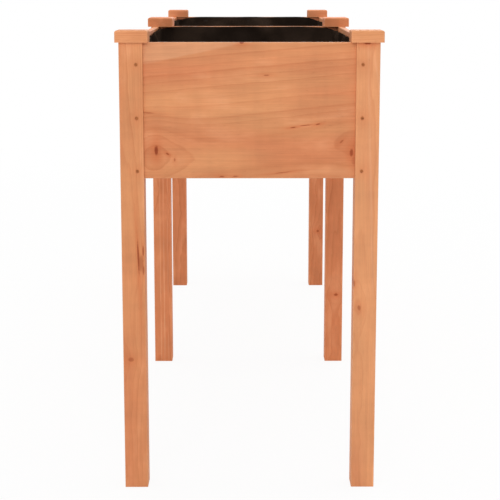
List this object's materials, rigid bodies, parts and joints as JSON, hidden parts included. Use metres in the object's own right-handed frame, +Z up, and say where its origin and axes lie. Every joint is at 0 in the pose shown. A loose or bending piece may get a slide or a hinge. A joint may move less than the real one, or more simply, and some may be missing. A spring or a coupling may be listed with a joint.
{
  "type": "raised planter box",
  "caption": "Long raised planter box of stained softwood on square legs, with end, side and divider boards housed in the legs, slatted floors, cap blocks and black liners.",
  "frame": {"origin": "on the ground, under the middle of the planter's footprint", "axes": "+X across the planter, +Y along it away from the pictured end, +Z up"},
  "size_m": [0.45, 1.6, 0.8],
  "materials": {
    "leg_wood": "planed softwood with a warm orange-brown stain, grain upright",
    "cap_wood": "planed softwood with a warm orange-brown stain, edges rounded",
    "board_wood": "wide planed softwood boards with a warm orange-brown stain, grain level, small knots",
    "floor_wood": "thin planed softwood slats and battens, same stain",
    "liner_fabric": "matte black non-woven sheet with soft folds",
    "screw_steel": "bronze-coated steel",
    "staple_steel": "black-coated steel wire"
  },
  "bodies": {
    "root": {"cap_front_left": "cap_wood", "cap_front_right": "cap_wood", "cap_middle_left": "cap_wood", "cap_middle_right": "cap_wood", "cap_rear_left": "cap_wood", "cap_rear_right": "cap_wood", "cap_screws": "screw_steel", "cleat_front_left": "floor_wood", "cleat_front_right": "floor_wood", "cleat_rear_left": "floor_wood", "cleat_rear_right": "floor_wood", "cleat_screws": "screw_steel", "divider_board": "board_wood", "divider_screws": "screw_steel", "end_board_front": "board_wood", "end_board_rear": "board_wood", "end_board_screws": "screw_steel", "floor_slat_front_1": "floor_wood", "floor_slat_front_2": "floor_wood", "floor_slat_front_3": "floor_wood", "floor_slat_front_4": "floor_wood", "floor_slat_front_5": "floor_wood", "floor_slat_front_6": "floor_wood", "floor_slat_front_7": "floor_wood", "floor_slat_front_8": "floor_wood", "floor_slat_rear_1": "floor_wood", "floor_slat_rear_2": "floor_wood", "floor_slat_rear_3": "floor_wood", "floor_slat_rear_4": "floor_wood", "floor_slat_rear_5": "floor_wood", "floor_slat_rear_6": "floor_wood", "floor_slat_rear_7": "floor_wood", "floor_slat_rear_8": "floor_wood", "leg_front_left": "leg_wood", "leg_front_right": "leg_wood", "leg_middle_left": "leg_wood", "leg_middle_right": "leg_wood", "leg_rear_left": "leg_wood", "leg_rear_right": "leg_wood", "liner_front": "liner_fabric", "liner_rear": "liner_fabric", "liner_staples": "staple_steel", "side_board_front_left": "board_wood", "side_board_front_right": "board_wood", "side_board_rear_left": "board_wood", "side_board_rear_right": "board_wood", "side_board_screws": "screw_steel", "slat_nails": "screw_steel"}
  },
  "joints": []
}
